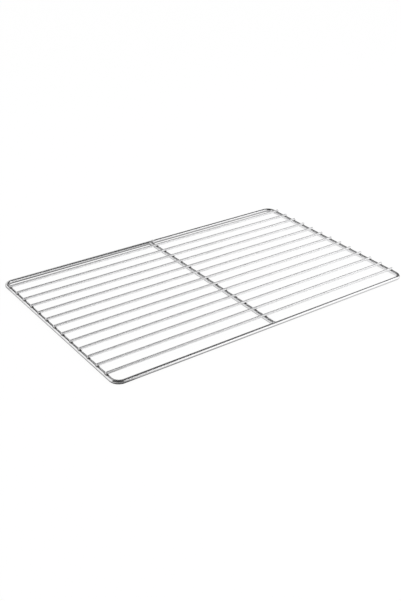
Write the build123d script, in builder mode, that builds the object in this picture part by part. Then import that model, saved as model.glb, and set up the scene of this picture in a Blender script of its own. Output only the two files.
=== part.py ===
from build123d import *
import os

# Oven shelf rack of welded round wire, sized for the runners of a 1/1 gastronorm oven.
# Millimetres. X runs along the long sides, Y from the front to the back, Z up.
# The origin is at the middle of the rack, on the surface that the frame lies on.

# Outside of the frame
rack_length = 530.0
rack_width = 325.0

# Wire diameters
frame_wire = 6.0
bar_wire = 6.0
rod_wire = 4.0

# Bends of the frame wire, measured on its centre line
corner_radius = 12.0

# Collar of metal squeezed out where the ends of the frame wire are butt-welded, on the back side.
# It stands higher above the wire than beside it, because the underside is dressed flush.
closing_weld_offset = 5.0
closing_weld_length = 3.2
closing_weld_height = 0.35
closing_weld_lift = 0.5
closing_weld_bevel = 0.7

# Rods at an even pitch about the middle of the rack, as many as leave the least gap beside the long sides
rod_pitch = 23.0
rod_side_gap = 12.0
rod_end_inset = 1.0

# How far the pressed welds sink the wires into each other
rod_set_down = 0.3
bar_set_in = 0.4

# Heights of the wires' centre lines
frame_height = frame_wire / 2
bar_height = frame_wire - bar_wire / 2
rod_height = frame_wire + rod_wire / 2 - rod_set_down

# Half sizes of the frame's centre line
side_x = (rack_length - frame_wire) / 2
side_y = (rack_width - frame_wire) / 2

# Rods that fit between the long sides
rod_span = rack_width - 2 * frame_wire - 2 * rod_side_gap - rod_wire
rod_count = int(rod_span / rod_pitch) + 1

os.makedirs("parts", exist_ok=True)

# Frame: one wire along the closed outline, with the bevelled collar of its closing weld
collar_radius = frame_wire / 2 + closing_weld_height
collar_height = frame_height + closing_weld_lift
with BuildPart() as frame:
    with BuildLine(Plane.XY.offset(frame_height)) as outline:
        FilletPolyline(
            (-side_x, -side_y),
            (side_x, -side_y),
            (side_x, side_y),
            (-side_x, side_y),
            radius=corner_radius,
            close=True,
        )
    with BuildSketch(Plane(origin=outline.wire() @ 0, z_dir=outline.wire() % 0)):
        Circle(frame_wire / 2)
    sweep()
    with BuildSketch(Plane.XY.offset(collar_height)):
        with Locations((closing_weld_offset, side_y)):
            Rectangle(closing_weld_length, collar_radius, align=(Align.CENTER, Align.MIN))
        chamfer(vertices().group_by(Axis.Y)[-1], length=closing_weld_bevel)
    revolve(axis=Axis((0, side_y, collar_height), (1, 0, 0)))
frame.part.label = "frame"
export_step(frame.part, "parts/frame.step")

# Cross bar: butted between the long sides and set a little into them
bar_length = rack_width - 2 * frame_wire + 2 * bar_set_in
with BuildPart() as cross_bar:
    with BuildSketch(Plane.XZ.offset(-bar_length / 2)):
        with Locations((0, bar_height)):
            Circle(bar_wire / 2)
    extrude(amount=bar_length)
    add(frame.part, mode=Mode.SUBTRACT)
cross_bar.part.label = "cross_bar"
export_step(cross_bar.part, "parts/cross_bar.step")

# Rods: sheared square and set down onto the short sides and the cross bar
rod_length = rack_length - 2 * rod_end_inset
for index in range(rod_count):
    rod_y = ((rod_count - 1) / 2 - index) * rod_pitch
    with BuildPart() as rod:
        with BuildSketch(Plane.YZ.offset(-rod_length / 2)):
            with Locations((rod_y, rod_height)):
                Circle(rod_wire / 2)
        extrude(amount=rod_length)
        add(frame.part, mode=Mode.SUBTRACT)
        add(cross_bar.part, mode=Mode.SUBTRACT)
    name = f"rod_{index + 1:02d}"
    rod.part.label = name
    export_step(rod.part, f"parts/{name}.step")
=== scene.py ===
import math
import bmesh
import bpy
from mathutils import Matrix, Vector


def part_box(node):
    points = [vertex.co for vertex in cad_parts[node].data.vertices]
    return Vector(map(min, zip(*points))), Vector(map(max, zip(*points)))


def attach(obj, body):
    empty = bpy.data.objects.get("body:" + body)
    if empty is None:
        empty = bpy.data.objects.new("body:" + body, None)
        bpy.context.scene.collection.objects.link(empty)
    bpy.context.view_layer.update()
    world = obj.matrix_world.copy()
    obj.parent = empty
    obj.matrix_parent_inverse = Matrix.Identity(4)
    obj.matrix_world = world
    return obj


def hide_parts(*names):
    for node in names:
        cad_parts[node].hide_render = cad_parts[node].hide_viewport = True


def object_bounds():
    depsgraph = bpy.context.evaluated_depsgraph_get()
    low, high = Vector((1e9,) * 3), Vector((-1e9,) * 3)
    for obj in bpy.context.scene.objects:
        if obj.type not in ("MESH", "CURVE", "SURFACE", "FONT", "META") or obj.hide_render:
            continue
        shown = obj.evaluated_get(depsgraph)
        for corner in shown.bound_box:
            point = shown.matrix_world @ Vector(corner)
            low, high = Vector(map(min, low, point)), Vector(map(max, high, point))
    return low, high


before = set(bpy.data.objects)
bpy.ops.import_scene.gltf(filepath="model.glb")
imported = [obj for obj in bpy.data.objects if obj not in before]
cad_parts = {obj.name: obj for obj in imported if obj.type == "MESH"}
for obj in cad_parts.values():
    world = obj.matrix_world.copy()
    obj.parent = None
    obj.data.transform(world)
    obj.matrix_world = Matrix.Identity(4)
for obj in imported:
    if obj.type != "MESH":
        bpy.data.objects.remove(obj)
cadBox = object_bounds()
mm = 0.001
up = Vector((0, 0, 1))
print("frame loaded:", len(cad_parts), "nodes")


# The camera, placed as it stood for the photograph
camera = {
    "focal": 847.6,  # in pixels of the photograph
    "longSide": 601,
    "azimuth": -37.378,
    "elevation": 29.209,
    "roll": 1.811,
    "place": (-10.292, -31.689, 1304.908),  # right, up and back from the rack's middle, mm
    "sensor": 36.0,
    "wireHeight": 3.0,  # the middle of the frame wire above the floor, mm
}


def addCamera(c):
    turn, tip, roll = (math.radians(c[k]) for k in ("azimuth", "elevation", "roll"))
    back = Vector((math.sin(turn) * math.cos(tip), -math.cos(turn) * math.cos(tip), math.sin(tip)))
    level = up.cross(back).normalized()
    rise = back.cross(level)
    right = level * math.cos(roll) + rise * math.sin(roll)
    top = rise * math.cos(roll) - level * math.sin(roll)
    x, y, z = c["place"]
    data = bpy.data.cameras.new("camera")
    data.sensor_width = c["sensor"]
    data.lens = c["focal"] / c["longSide"] * c["sensor"]
    data.clip_start = 0.01
    cam = bpy.data.objects.new("camera", data)
    bpy.context.scene.collection.objects.link(cam)
    turned = Matrix((right, top, back)).transposed().to_4x4()
    spot = right * x + top * y + back * z + up * c["wireHeight"]
    cam.matrix_world = Matrix.Translation(spot * mm) @ turned
    bpy.context.scene.camera = cam


addCamera(camera)
bpy.context.scene.view_settings.view_transform = "Standard"
print("camera placed")


# Small helpers for building the finishes
def newGroup(name, inputs, outputs):
    group = bpy.data.node_groups.new(name, "ShaderNodeTree")
    for label, value in inputs.items():
        socket = group.interface.new_socket(label, in_out="INPUT", socket_type="NodeSocketFloat")
        socket.default_value = value
    for label in outputs:
        group.interface.new_socket(label, in_out="OUTPUT", socket_type="NodeSocketFloat")
    return group, group.nodes.new("NodeGroupInput"), group.nodes.new("NodeGroupOutput")


def addMath(tree, operation, first, second=None, clamp=False):
    node = tree.nodes.new("ShaderNodeMath")
    node.operation = operation
    node.use_clamp = clamp
    for socket, value in zip(node.inputs, (first, second)):
        if isinstance(value, (int, float)):
            socket.default_value = value
        elif value is not None:
            tree.links.new(value, socket)
    return node.outputs[0]


def addNoise(tree, vector, scale, detail, roughness=0.5):
    node = tree.nodes.new("ShaderNodeTexNoise")
    node.inputs["Detail"].default_value = detail
    node.inputs["Roughness"].default_value = roughness
    if isinstance(scale, (int, float)):
        node.inputs["Scale"].default_value = scale
    else:
        tree.links.new(scale, node.inputs["Scale"])
    tree.links.new(vector, node.inputs["Vector"])
    return node.outputs["Fac"]


def addRamp(tree, value, low, high, first=0.0, last=1.0):
    node = tree.nodes.new("ShaderNodeMapRange")
    node.interpolation_type = "SMOOTHSTEP"
    for label, setting in (("From Min", low), ("From Max", high), ("To Min", first), ("To Max", last)):
        if isinstance(setting, (int, float)):
            node.inputs[label].default_value = setting
        else:
            tree.links.new(setting, node.inputs[label])
    tree.links.new(value, node.inputs["Value"])
    return node.outputs["Result"]


# Lines left by the drawing die, which run along the wire, and a soft cloudiness
drawn = {
    "inputs": {"Fineness": 900.0, "Stretch": 0.02},
    "detail": 4.0,
    "roughness": 0.65,
    "lines": (0.3, 0.7),  # the noise at which a line starts and is full
    "cloudScale": 55.0,
    "cloudDetail": 3.0,
    "cloud": (0.35, 0.7),
}


def makeDieLines(d):
    group, given, result = newGroup("dieLines", d["inputs"], ["Lines", "Cloud"])
    place = group.nodes.new("ShaderNodeAttribute")
    place.attribute_name = "wireCoords"
    squeeze = group.nodes.new("ShaderNodeCombineXYZ")
    squeeze.inputs["Y"].default_value = 1.0
    squeeze.inputs["Z"].default_value = 1.0
    group.links.new(given.outputs["Stretch"], squeeze.inputs["X"])
    along = group.nodes.new("ShaderNodeVectorMath")
    along.operation = "MULTIPLY"
    group.links.new(place.outputs["Vector"], along.inputs[0])
    group.links.new(squeeze.outputs["Vector"], along.inputs[1])
    scale = given.outputs["Fineness"]
    lines = addNoise(group, along.outputs["Vector"], scale, d["detail"], d["roughness"])
    cloud = addNoise(group, place.outputs["Vector"], d["cloudScale"], d["cloudDetail"])
    group.links.new(addRamp(group, lines, *d["lines"]), result.inputs["Lines"])
    group.links.new(addRamp(group, cloud, *d["cloud"]), result.inputs["Cloud"])
    return group


# Painted shade round the points where the wires are welded: the metal there is darkened and dulled. This
# stands in for the crossing rod's dark reflection and the shade beside it, together with the weld's own
# discoloration
crossingShadeLook = {
    # The welds' height, how far the full painted shade and the last trace of it reach, and how much less
    # along X
    "inputs": {"Height": 0.0058, "Near": 0.004, "Far": 0.0075, "Narrowness": 2.0},
    "halfAlong": 0.131,  # half the way between two welds of a rod, m
    "halfAcross": 0.0115,  # half the pitch of the rods
    "lastRod": 0.138,
    "unevenScale": 420.0,
    "unevenDetail": 3.0,
    "uneven": 0.003,  # how much the edge strays, m
}


def makeWeldHeat(h):
    group, given, result = newGroup("weldHeat", h["inputs"], ["Heat"])
    place = group.nodes.new("ShaderNodeTexCoord")
    parts = group.nodes.new("ShaderNodeSeparateXYZ")
    group.links.new(place.outputs["Object"], parts.inputs["Vector"])
    away = group.nodes.new("ShaderNodeCombineXYZ")
    beside = addMath(group, "PINGPONG", parts.outputs["X"], h["halfAlong"])
    group.links.new(addMath(group, "MULTIPLY", beside, given.outputs["Narrowness"]), away.inputs["X"])
    acrossRods = addMath(group, "PINGPONG", parts.outputs["Y"], h["halfAcross"])
    fromMiddle = addMath(group, "ABSOLUTE", parts.outputs["Y"])
    pastRods = addMath(group, "SUBTRACT", fromMiddle, h["lastRod"])
    group.links.new(addMath(group, "MAXIMUM", acrossRods, pastRods), away.inputs["Y"])
    above = addMath(group, "SUBTRACT", parts.outputs["Z"], given.outputs["Height"])
    group.links.new(above, away.inputs["Z"])
    length = group.nodes.new("ShaderNodeVectorMath")
    length.operation = "LENGTH"
    group.links.new(away.outputs["Vector"], length.inputs[0])
    uneven = addNoise(group, place.outputs["Object"], h["unevenScale"], h["unevenDetail"])
    stray = addMath(group, "MULTIPLY", addMath(group, "SUBTRACT", uneven, 0.5), h["uneven"])
    reached = addMath(group, "ADD", length.outputs["Value"], stray)
    # Painted shade: full near the crossing, fading out further away
    paintedShade = addRamp(group, reached, given.outputs["Near"], given.outputs["Far"], 1.0, 0.0)
    group.links.new(paintedShade, result.inputs["Heat"])
    return group


# The closing weld of the frame on the back side, dressed to a pale satin band
dressing = {
    "inputs": {"Place": 0.005, "Near": 0.0018, "Far": 0.0028},  # middle of the band and its half widths
    "backSide": 0.15,  # past this is the back side, m
}


def makeWeldBand(b):
    group, given, result = newGroup("weldBand", b["inputs"], ["Band"])
    place = group.nodes.new("ShaderNodeTexCoord")
    parts = group.nodes.new("ShaderNodeSeparateXYZ")
    group.links.new(place.outputs["Object"], parts.inputs["Vector"])
    beside = addMath(group, "SUBTRACT", parts.outputs["X"], given.outputs["Place"])
    beside = addMath(group, "ABSOLUTE", beside)
    band = addRamp(group, beside, given.outputs["Near"], given.outputs["Far"], 1.0, 0.0)
    atBack = addMath(group, "GREATER_THAN", parts.outputs["Y"], b["backSide"])
    group.links.new(addMath(group, "MULTIPLY", band, atBack), result.inputs["Band"])
    return group


# Dull spots from baking trays and washing
wear = {
    "inputs": {"Amount": 0.3},
    "scale": 240.0,
    "detail": 5.0,
    "roughness": 0.6,
    "start": 0.72,  # the noise at which a spot starts, with no wear
    "gain": 0.25,  # how far full wear lowers that
    "soft": 0.1,
}


def makeUseMarks(w):
    group, given, result = newGroup("useMarks", w["inputs"], ["Marks"])
    place = group.nodes.new("ShaderNodeTexCoord")
    spots = addNoise(group, place.outputs["Object"], w["scale"], w["detail"], w["roughness"])
    lowered = addMath(group, "MULTIPLY", given.outputs["Amount"], w["gain"])
    low = addMath(group, "SUBTRACT", w["start"], lowered)
    high = addMath(group, "ADD", low, w["soft"])
    group.links.new(addRamp(group, spots, low, high), result.inputs["Marks"])
    return group


dieLines = makeDieLines(drawn)
weldHeat = makeWeldHeat(crossingShadeLook)
weldBand = makeWeldBand(dressing)
useMarks = makeUseMarks(wear)


def addGroup(tree, group, **values):
    node = tree.nodes.new("ShaderNodeGroup")
    node.node_tree = group
    for label, value in values.items():
        node.inputs[label].default_value = value
    return node.outputs


def addBlend(tree, factor, first, second):
    node = tree.nodes.new("ShaderNodeMix")
    node.data_type = "RGBA"
    for name, value in (("A_Color", first), ("B_Color", second)):
        socket = next(s for s in node.inputs if s.identifier == name)
        if isinstance(value, tuple):
            socket.default_value = (*value, 1)
        else:
            tree.links.new(value, socket)
    tree.links.new(factor, next(s for s in node.inputs if s.identifier == "Factor_Float"))
    return next(s for s in node.outputs if s.identifier == "Result_Color")


# One bright plated metal, and what differs from wire to wire
brightMetal = {
    "bright": (0.86, 0.86, 0.865),
    "lined": (0.79, 0.79, 0.8),  # in the die lines
    "shadeColor": (0.16, 0.155, 0.15),  # painted shade round the welds
    "worn": (0.68, 0.68, 0.685),
    "linesShare": 0.6,  # how strongly each effect shows
    "shadeShare": 0.9,
    "wornShare": 0.5,
    "cloudShare": 0.25,
    "gloss": 0.2,
    "dull": 0.34,
    "fineness": 700.0,  # of the die lines
    "grooves": 0.000012,  # their depth, m
}
frameLook = {
    **brightMetal,
    "marks": 0.3,
    "paintedShade": {"Near": 0.0036, "Far": 0.0062, "Narrowness": 2.2},
    "dressed": (0.72, 0.72, 0.725),  # at the closing weld
    "dressedMatt": 0.5,
}
barLook = {
    **brightMetal,
    "marks": 0.2,
    "paintedShade": {"Near": 0.0042, "Far": 0.0068, "Narrowness": 2.6},
}
weldLook = {
    **brightMetal,
    "fineness": 1000.0,
    "marks": 0.5,
    "paintedShade": {"Near": 0.002, "Far": 0.003, "Narrowness": 1.0},
}
rodLook = {
    **weldLook,
    "bright": (0.93, 0.93, 0.935),
    "lined": (0.87, 0.87, 0.88),
    "gloss": 0.55,
    "dull": 0.6,
    "marks": 0.35,
    # Painted light on the rods' edges, paler towards the right
    "edgeLitColor": (0.62, 0.62, 0.625),
    "edgeLight": 0.85,  # share of painted edge light at the right end
    "edgeLightReach": (-0.2, 0.25),  # from left to right, m
    "edgeLightSlant": (0.45, 0.95),  # from the side that faces the eye to the edge
}


def addPaintedEdgeLight(tree, look):
    # Painted light on the wire's slanting sides: a pale, partly non-metallic coat that grows towards the
    # right, so the edges read lighter where the light falls from the right
    place = tree.nodes.new("ShaderNodeTexCoord")
    parts = tree.nodes.new("ShaderNodeSeparateXYZ")
    tree.links.new(place.outputs["Object"], parts.inputs["Vector"])
    slant = tree.nodes.new("ShaderNodeLayerWeight")
    slant.inputs["Blend"].default_value = 0.5
    edgeLight = addRamp(tree, parts.outputs["X"], *look["edgeLightReach"], 0.0, look["edgeLight"])
    return addMath(tree, "MULTIPLY", edgeLight, addRamp(tree, slant.outputs["Facing"], *look["edgeLightSlant"]))


def makeWireMetal(name, look):
    material = bpy.data.materials.new(name)
    material.use_nodes = True
    tree = material.node_tree
    shader = tree.nodes["Principled BSDF"]
    shader.inputs["Metallic"].default_value = 1.0
    lines = addGroup(tree, dieLines, Fineness=look["fineness"])
    paintedShade = addGroup(tree, weldHeat, **look["paintedShade"])["Heat"]
    worn = addGroup(tree, useMarks, Amount=look["marks"])["Marks"]
    worn = addMath(tree, "MULTIPLY", worn, look["wornShare"])
    lined = addMath(tree, "MULTIPLY", lines["Lines"], look["linesShare"])
    color = addBlend(tree, lined, look["bright"], look["lined"])
    color = addBlend(tree, worn, color, look["worn"])
    # Painted shade: the colour is blended towards the dark shade colour round the crossings
    color = addBlend(tree, addMath(tree, "MULTIPLY", paintedShade, look["shadeShare"]), color, look["shadeColor"])
    if "edgeLitColor" in look:
        # Painted light: paler, less metallic slanting sides towards the right
        edgeLight = addPaintedEdgeLight(tree, look)
        color = addBlend(tree, edgeLight, color, look["edgeLitColor"])
        tree.links.new(addMath(tree, "SUBTRACT", 1.0, edgeLight), shader.inputs["Metallic"])
    if "dressed" in look:
        band = addGroup(tree, weldBand)["Band"]
        color = addBlend(tree, band, color, look["dressed"])
        matt = addMath(tree, "MULTIPLY", band, look["dressedMatt"])
        tree.links.new(addMath(tree, "SUBTRACT", 1.0, matt), shader.inputs["Metallic"])
    tree.links.new(color, shader.inputs["Base Color"])
    dullness = addMath(tree, "MAXIMUM", paintedShade, worn)
    clouded = addMath(tree, "MULTIPLY", lines["Cloud"], look["cloudShare"])
    dullness = addMath(tree, "MAXIMUM", dullness, clouded)
    roughness = addRamp(tree, dullness, 0.0, 1.0, look["gloss"], look["dull"])
    tree.links.new(roughness, shader.inputs["Roughness"])
    bump = tree.nodes.new("ShaderNodeBump")
    bump.inputs["Distance"].default_value = look["grooves"]
    tree.links.new(lines["Lines"], bump.inputs["Height"])
    tree.links.new(bump.outputs["Normal"], shader.inputs["Normal"])
    return material


frameMetal = makeWireMetal("frameMetal", frameLook)
barMetal = makeWireMetal("barMetal", barLook)
rodMetal = makeWireMetal("rodMetal", rodLook)
weldMetal = makeWireMetal("weldMetal", weldLook)
print("finishes made")


# Wires are grown ring by ring, and each point keeps its place along and round the wire for the finish
def markRing(wire):
    layer = wire["bm"].verts.layers.float_vector["wireCoords"]
    side = wire["heading"].cross(up)
    for vert in wire["verts"]:
        out = vert.co - wire["centre"]
        vert[layer] = (wire["travelled"], out.dot(side), out.dot(up))


def startWire(centre, heading, radius, sides):
    bm = bmesh.new()
    bm.verts.layers.float_vector.new("wireCoords")
    turned = heading.to_track_quat("Z", "Y").to_matrix().to_4x4()
    made = bmesh.ops.create_circle(
        bm, segments=sides, radius=radius, cap_ends=False, matrix=Matrix.Translation(centre) @ turned)
    wire = {"bm": bm, "verts": made["verts"], "centre": centre.copy(), "heading": heading.copy(),
            "travelled": 0.0, "radius": radius}
    markRing(wire)
    return wire


def lastEdges(wire):
    last = set(wire["verts"])
    return list({e for v in last for e in v.link_edges if e.other_vert(v) in last})


def growWire(wire, matrix, radius=None):
    # One more ring: extruded from the last one, moved by the matrix and brought to its radius
    bm = wire["bm"]
    made = bmesh.ops.extrude_edge_only(bm, edges=lastEdges(wire))["geom"]
    verts = [g for g in made if isinstance(g, bmesh.types.BMVert)]
    bmesh.ops.transform(bm, matrix=matrix, verts=verts)
    before = wire["centre"].copy()
    wire["centre"] = matrix @ wire["centre"]
    wire["heading"] = (matrix.to_3x3() @ wire["heading"]).normalized()
    if radius is not None:
        grown = radius / wire["radius"]
        toCentre = Matrix.Translation(-wire["centre"])
        bmesh.ops.scale(bm, vec=(grown, grown, grown), space=toCentre, verts=verts)
        wire["radius"] = radius
    wire["verts"] = verts
    wire["travelled"] += (wire["centre"] - before).length
    markRing(wire)


def goStraight(wire, length, radius=None, lift=0.0):
    growWire(wire, Matrix.Translation(wire["heading"] * length + up * lift), radius)


def goRound(wire, bend, angle, steps):
    # A bend to the left of the heading, when seen from above
    middle = wire["centre"] + up.cross(wire["heading"]) * bend
    step = Matrix.Rotation(angle / steps, 4, "Z")
    for _ in range(steps):
        growWire(wire, Matrix.Translation(middle) @ step @ Matrix.Translation(-middle))


def goThrough(wire, shape):
    # Along a shape given in mm: the place along the wire, its radius there and how far it is lifted
    for before, after in zip(shape, shape[1:]):
        goStraight(wire, abs(after[0] - before[0]) * mm, after[1] * mm, (after[2] - before[2]) * mm)


def closeEnd(wire):
    bmesh.ops.edgeloop_fill(wire["bm"], edges=lastEdges(wire))


def finishPiece(bm, name, material, *nodes):
    bmesh.ops.recalc_face_normals(bm, faces=bm.faces)
    mesh = bpy.data.meshes.new(name)
    for face in bm.faces:
        face.smooth = len(face.verts) < 5  # the flat ends of the wires stay flat
    bm.to_mesh(mesh)
    bm.free()
    mesh.materials.append(material)
    piece = bpy.data.objects.new(name, mesh)
    bpy.context.scene.collection.objects.link(piece)
    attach(piece, "root")
    if nodes:
        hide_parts(*nodes)


# The frame: one wire bent round the outline, closed by a butt weld on the back side
outline = {
    "wire": 6.0,
    "bend": 12.0,  # of the middle line
    "bendSteps": 12,
    "joinWithin": 0.01,
    "sides": 32,
    "weldPlace": 5.0,  # right of the middle
    # Half of the weld: the place along the wire, its radius there and how far it is lifted
    "weldShape": (
        (0.0, 3.35, 0.5), (0.75, 3.33, 0.48), (1.2, 3.2, 0.32), (1.5, 3.07, 0.12), (1.8, 3.0, 0.0)),
}


def makeOutline(o):
    low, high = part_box("frame")
    half = o["wire"] / 2
    sideX = high.x / mm - half
    sideY = -low.y / mm - half
    shape = o["weldShape"]
    centre = Vector((o["weldPlace"], sideY, half + shape[0][2])) * mm
    wire = startWire(centre, Vector((-1, 0, 0)), shape[0][1] * mm, o["sides"])
    goThrough(wire, shape)
    toCorner = {"x": sideX - o["bend"], "y": sideY - o["bend"]}
    goStraight(wire, (toCorner["x"] + o["weldPlace"] - shape[-1][0]) * mm)
    for run in ("y", "x", "y", None):
        goRound(wire, o["bend"] * mm, math.pi / 2, o["bendSteps"])
        if run:
            goStraight(wire, 2 * toCorner[run] * mm)
    goStraight(wire, (toCorner["x"] - o["weldPlace"] - shape[-1][0]) * mm)
    goThrough(wire, shape[::-1])
    bmesh.ops.remove_doubles(wire["bm"], verts=wire["bm"].verts, dist=o["joinWithin"] * mm)
    finishPiece(wire["bm"], "frame_wire", frameMetal, "frame")


makeOutline(outline)

# The cross bar: butted between the long sides, with a little weld metal at each end
bar = {
    "sides": 32,
    "weldShape": ((0.0, 3.22, 0.22), (0.45, 3.18, 0.18), (0.8, 3.06, 0.06), (1.15, 3.0, 0.0)),
}


def makeBar(b):
    low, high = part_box("cross_bar")
    middle = (low + high) / 2
    shape = b["weldShape"]
    start = Vector((middle.x, low.y, middle.z + shape[0][2] * mm))
    wire = startWire(start, Vector((0, 1, 0)), shape[0][1] * mm, b["sides"])
    closeEnd(wire)
    goThrough(wire, shape)
    goStraight(wire, high.y - low.y - 2 * shape[-1][0] * mm)
    goThrough(wire, shape[::-1])
    closeEnd(wire)
    finishPiece(wire["bm"], "bar_wire", barMetal, "cross_bar")


makeBar(bar)

# The rods, with the edge of the cut rounded off by tumbling
rods = {
    "sides": 24,
    # Millimetres along the rod, and the share of its radius there
    "endShape": ((0.0, 0.5), (0.07, 0.66), (0.22, 0.8), (0.48, 0.91), (0.85, 0.975), (1.3, 1.0)),
}


def makeRod(r, node):
    low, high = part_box(node)
    radius = (high.y - low.y) / 2
    shape = [(along, share * radius / mm, 0.0) for along, share in r["endShape"]]
    start = Vector((low.x, (low.y + high.y) / 2, high.z - radius))
    wire = startWire(start, Vector((1, 0, 0)), shape[0][1] * mm, r["sides"])
    closeEnd(wire)
    goThrough(wire, shape)
    goStraight(wire, high.x - low.x - 2 * shape[-1][0] * mm)
    goThrough(wire, shape[::-1])
    closeEnd(wire)
    finishPiece(wire["bm"], node + "_wire", rodMetal, node)


rodNodes = sorted(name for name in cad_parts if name.startswith("rod_"))
for node in rodNodes:
    makeRod(rods, node)

# The weld metal pressed out beside each crossing
beads = {
    "across": 262.0,  # where the rods cross the short sides
    "height": 5.9,
    "size": (3.0, 3.4, 1.5),  # along the rod, across it, up
    "around": 16,
    "rows": 8,
}


def makeBeads(b):
    bm = bmesh.new()
    bm.verts.layers.float_vector.new("wireCoords")
    for node in rodNodes:
        low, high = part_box(node)
        for x in (-b["across"], 0.0, b["across"]):
            place = Vector((x * mm, (low.y + high.y) / 2, b["height"] * mm))
            size = Matrix.Diagonal((*(Vector(b["size"]) * mm / 2), 1))
            bmesh.ops.create_uvsphere(
                bm, u_segments=b["around"], v_segments=b["rows"], radius=1.0,
                matrix=Matrix.Translation(place) @ size)
    finishPiece(bm, "weld_beads", weldMetal)


makeBeads(beads)
print("wires made:", 2 + len(rodNodes))

# The floor, and the painted shadows on it that only the metal mirrors
studio = {
    "floorSize": 30.0,
    "floorColor": 0.9,
    "floorGlow": 0.95,  # share of the floor that stays white in the object's shadow
    "edgeShadowTone": (0.82, 0.8),  # painted shadow on the floor that the metal mirrors outside the rack, near and far
    "edgeShadowReach": (0.004, 0.3),
    "contactShadowTone": (0.25, 0.8),  # painted contact shadow on the floor that the metal mirrors right under a wire, at the left and at the right
    "contactShadowReach": (0.0045, 0.0095),
    "backShadeTone": 0.4,  # painted shade on the floor that the metal mirrors, from the last rod on
    "backShadeReach": (0.136, 0.158),
    "cornerShadeTone": 0.1,  # painted shade on the floor that the metal mirrors, at the front left corner
    "cornerShadePlace": (-0.252, -0.162, 0.0),
    "cornerShadeReach": (0.01, 0.027),
    "sky": 1.0,
}


def makeBackground(material, look):
    # White for the camera, and a plain pale floor under the light. The metal also mirrors the floor
    # white, but with painted shadow: darker outside the rack, a painted contact shadow under the wires,
    # and painted shade past the last rod and at the front left corner
    tree = material.node_tree
    tree.nodes.clear()
    result = tree.nodes.new("ShaderNodeOutputMaterial")
    paint = tree.nodes.new("ShaderNodeBsdfDiffuse")
    paint.inputs["Color"].default_value = (look["floorColor"],) * 3 + (1,)
    glow = tree.nodes.new("ShaderNodeEmission")
    rays = tree.nodes.new("ShaderNodeLightPath")
    seen = addMath(tree, "ADD", rays.outputs["Is Camera Ray"], rays.outputs["Is Glossy Ray"])
    seen = addMath(tree, "ADD", seen, rays.outputs["Is Transmission Ray"], clamp=True)
    low, high = cadBox
    place = tree.nodes.new("ShaderNodeTexCoord")
    parts = tree.nodes.new("ShaderNodeSeparateXYZ")
    tree.links.new(place.outputs["Object"], parts.inputs["Vector"])
    pastX = addMath(tree, "SUBTRACT", addMath(tree, "ABSOLUTE", parts.outputs["X"]), high.x)
    pastY = addMath(tree, "SUBTRACT", addMath(tree, "ABSOLUTE", parts.outputs["Y"]), -low.y)
    past = addMath(tree, "MAXIMUM", pastX, pastY)
    # Painted shadow: the floor that the metal mirrors darkens just outside the rack
    near, far = look["edgeShadowReach"]
    outside = addRamp(tree, past, -near, 0.0)
    faded = addRamp(tree, past, near, far, *look["edgeShadowTone"])
    dimmed = addMath(tree, "MULTIPLY", outside, addMath(tree, "SUBTRACT", 1.0, faded))
    mirrored = addMath(tree, "SUBTRACT", 1.0, dimmed)
    # Painted contact shadow: the floor that the metal sees within a few mm of a wire is darker, more so
    # at the left
    near, far = look["contactShadowReach"]
    under = addRamp(tree, parts.outputs["X"], low.x, high.x, *look["contactShadowTone"])
    shade = addRamp(tree, rays.outputs["Ray Length"], near, far, under, 1.0)
    mirrored = addMath(tree, "MULTIPLY", mirrored, shade)
    # Painted shade: the floor that the metal mirrors darkens past the last rod
    near, far = look["backShadeReach"]
    shade = addRamp(tree, parts.outputs["Y"], near, far, 1.0, look["backShadeTone"])
    mirrored = addMath(tree, "MULTIPLY", mirrored, shade)
    # Painted shade: a dark patch on the mirrored floor at the front left corner
    away = tree.nodes.new("ShaderNodeVectorMath")
    away.operation = "DISTANCE"
    away.inputs[1].default_value = look["cornerShadePlace"]
    tree.links.new(place.outputs["Object"], away.inputs[0])
    near, far = look["cornerShadeReach"]
    shade = addRamp(tree, away.outputs["Value"], near, far, look["cornerShadeTone"], 1.0)
    mirrored = addMath(tree, "MULTIPLY", mirrored, shade)
    lost = addMath(tree, "SUBTRACT", 1.0, mirrored)
    lost = addMath(tree, "MULTIPLY", lost, rays.outputs["Is Glossy Ray"])
    tree.links.new(addMath(tree, "SUBTRACT", 1.0, lost), glow.inputs["Strength"])
    blend = tree.nodes.new("ShaderNodeMixShader")
    tree.links.new(addMath(tree, "MULTIPLY", seen, look["floorGlow"]), blend.inputs["Fac"])
    tree.links.new(paint.outputs["BSDF"], blend.inputs[1])
    tree.links.new(glow.outputs["Emission"], blend.inputs[2])
    tree.links.new(blend.outputs["Shader"], result.inputs["Surface"])


def makeFloor(look):
    bm = bmesh.new()
    bmesh.ops.create_grid(bm, x_segments=1, y_segments=1, size=look["floorSize"] / 2)
    mesh = bpy.data.meshes.new("floor")
    bm.to_mesh(mesh)
    bm.free()
    material = bpy.data.materials.new("floorPaint")
    material.use_nodes = True
    makeBackground(material, look)
    mesh.materials.append(material)
    floor = bpy.data.objects.new("floor", mesh)
    bpy.context.scene.collection.objects.link(floor)


def makeSky(look):
    world = bpy.data.worlds.new("sky")
    world.use_nodes = True
    bpy.context.scene.world = world
    light = world.node_tree.nodes["Background"]
    light.inputs["Color"].default_value = (1, 1, 1, 1)
    light.inputs["Strength"].default_value = look["sky"]


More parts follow.
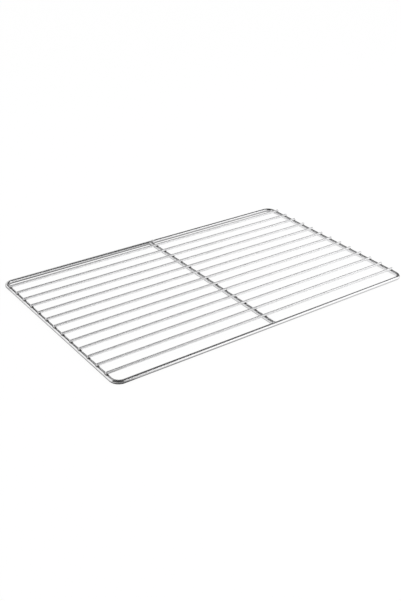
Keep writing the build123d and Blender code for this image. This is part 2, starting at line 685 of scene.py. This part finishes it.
# Cards that only the metal shows: each is a piece of a tent round the rack, as far off as its reach,
# from one bearing and height to another. Bearings count from the back (+Y) towards the right (+X).
cards = {
    "leftBox": {"reach": 1.6, "from": -80.0, "to": -34.0, "low": 0.3, "high": 28.0, "tone": 1.1},
    "darkBackLeft": {"reach": 1.6, "from": -30.0, "to": 12.0, "low": 24.0, "high": 43.0, "tone": 0.02},
    "darkOverLeft": {"reach": 1.58, "from": -38.0, "to": -10.0, "low": 34.0, "high": 49.0, "tone": 0.02},
    "greyOverBack": {"reach": 1.6, "from": -60.0, "to": 25.0, "low": 43.0, "high": 62.0, "tone": 0.5},
    "paleBack": {"reach": 1.6, "from": 12.0, "to": 25.0, "low": 0.3, "high": 43.0, "tone": 0.6},
    "darkBackRight": {"reach": 1.6, "from": 25.0, "to": 44.0, "low": 0.3, "high": 62.0, "tone": 0.03},
    "greyRight": {"reach": 1.6, "from": 44.0, "to": 97.0, "low": 0.3, "high": 62.0, "tone": 0.13},
    "darkAbove": {"reach": 1.6, "from": 97.0, "to": 300.0, "low": 45.0, "high": 62.0, "tone": 0.05},
    "darkTop": {"reach": 1.6, "from": -60.0, "to": 300.0, "low": 62.0, "high": 89.5, "tone": 0.03},
    "softBoxTop": {"reach": 1.58, "from": 100.0, "to": 129.0, "low": 44.5, "high": 53.0, "tone": 0.45},
    "greyOverBox": {"reach": 1.58, "from": 129.0, "to": 142.0, "low": 52.0, "high": 58.0, "tone": 0.6},
    "softBox": {"reach": 1.6, "from": 100.0, "to": 149.0, "low": 0.3, "high": 45.0, "tone": 1.25},
    "softBoxEdge": {"reach": 1.6, "from": 149.0, "to": 156.0, "low": 0.3, "high": 36.0, "tone": 1.25},
    "softBoxEnd": {"reach": 1.6, "from": 156.0, "to": 164.0, "low": 0.3, "high": 27.0, "tone": 1.25},
    "softBoxTip": {"reach": 1.6, "from": 164.0, "to": 167.0, "low": 0.3, "high": 18.0, "tone": 0.9},
    "darkFront": {"reach": 1.6, "from": 167.0, "to": 272.0, "low": 0.3, "high": 45.0, "tone": 0.08},
}


def makeCard(name, c):
    bm = bmesh.new()
    low, high, first, last = (math.radians(c[k]) for k in ("low", "high", "from", "to"))
    start = Matrix.Rotation(-first, 4, "Z")
    foot = bm.verts.new(start @ (Vector((0, math.cos(low), math.sin(low))) * c["reach"]))
    side = Vector((math.cos(first), -math.sin(first), 0))
    bmesh.ops.spin(bm, geom=[foot], cent=(0, 0, 0), axis=side, angle=high - low, steps=8)
    bmesh.ops.spin(
        bm, geom=bm.verts[:] + bm.edges[:], cent=(0, 0, 0), axis=(0, 0, -1),
        angle=last - first, steps=16)
    mesh = bpy.data.meshes.new(name)
    bm.to_mesh(mesh)
    bm.free()
    material = bpy.data.materials.new(name)
    material.use_nodes = True
    tree = material.node_tree
    tree.nodes.clear()
    glow = tree.nodes.new("ShaderNodeEmission")
    glow.inputs["Color"].default_value = (c["tone"],) * 3 + (1,)
    result = tree.nodes.new("ShaderNodeOutputMaterial")
    tree.links.new(glow.outputs["Emission"], result.inputs["Surface"])
    mesh.materials.append(material)
    card = bpy.data.objects.new(name, mesh)
    card.visible_camera = False
    card.visible_diffuse = False
    card.visible_shadow = False
    bpy.context.scene.collection.objects.link(card)


makeFloor(studio)
makeSky(studio)
for name, card in cards.items():
    makeCard(name, card)

# One large, soft lamp, which gives the shadow on the floor
lamp = {"energy": 12.0, "size": 1.6, "place": (0.9, -0.6, 1.6)}


def makeLamp(name, look):
    data = bpy.data.lights.new(name, "AREA")
    data.energy = look["energy"]
    data.size = look["size"]
    light = bpy.data.objects.new(name, data)
    place = Vector(look["place"])
    aim = place.to_track_quat("Z", "Y").to_matrix().to_4x4()
    light.matrix_world = Matrix.Translation(place) @ aim
    bpy.context.scene.collection.objects.link(light)


makeLamp("softLamp", lamp)
print("studio made")
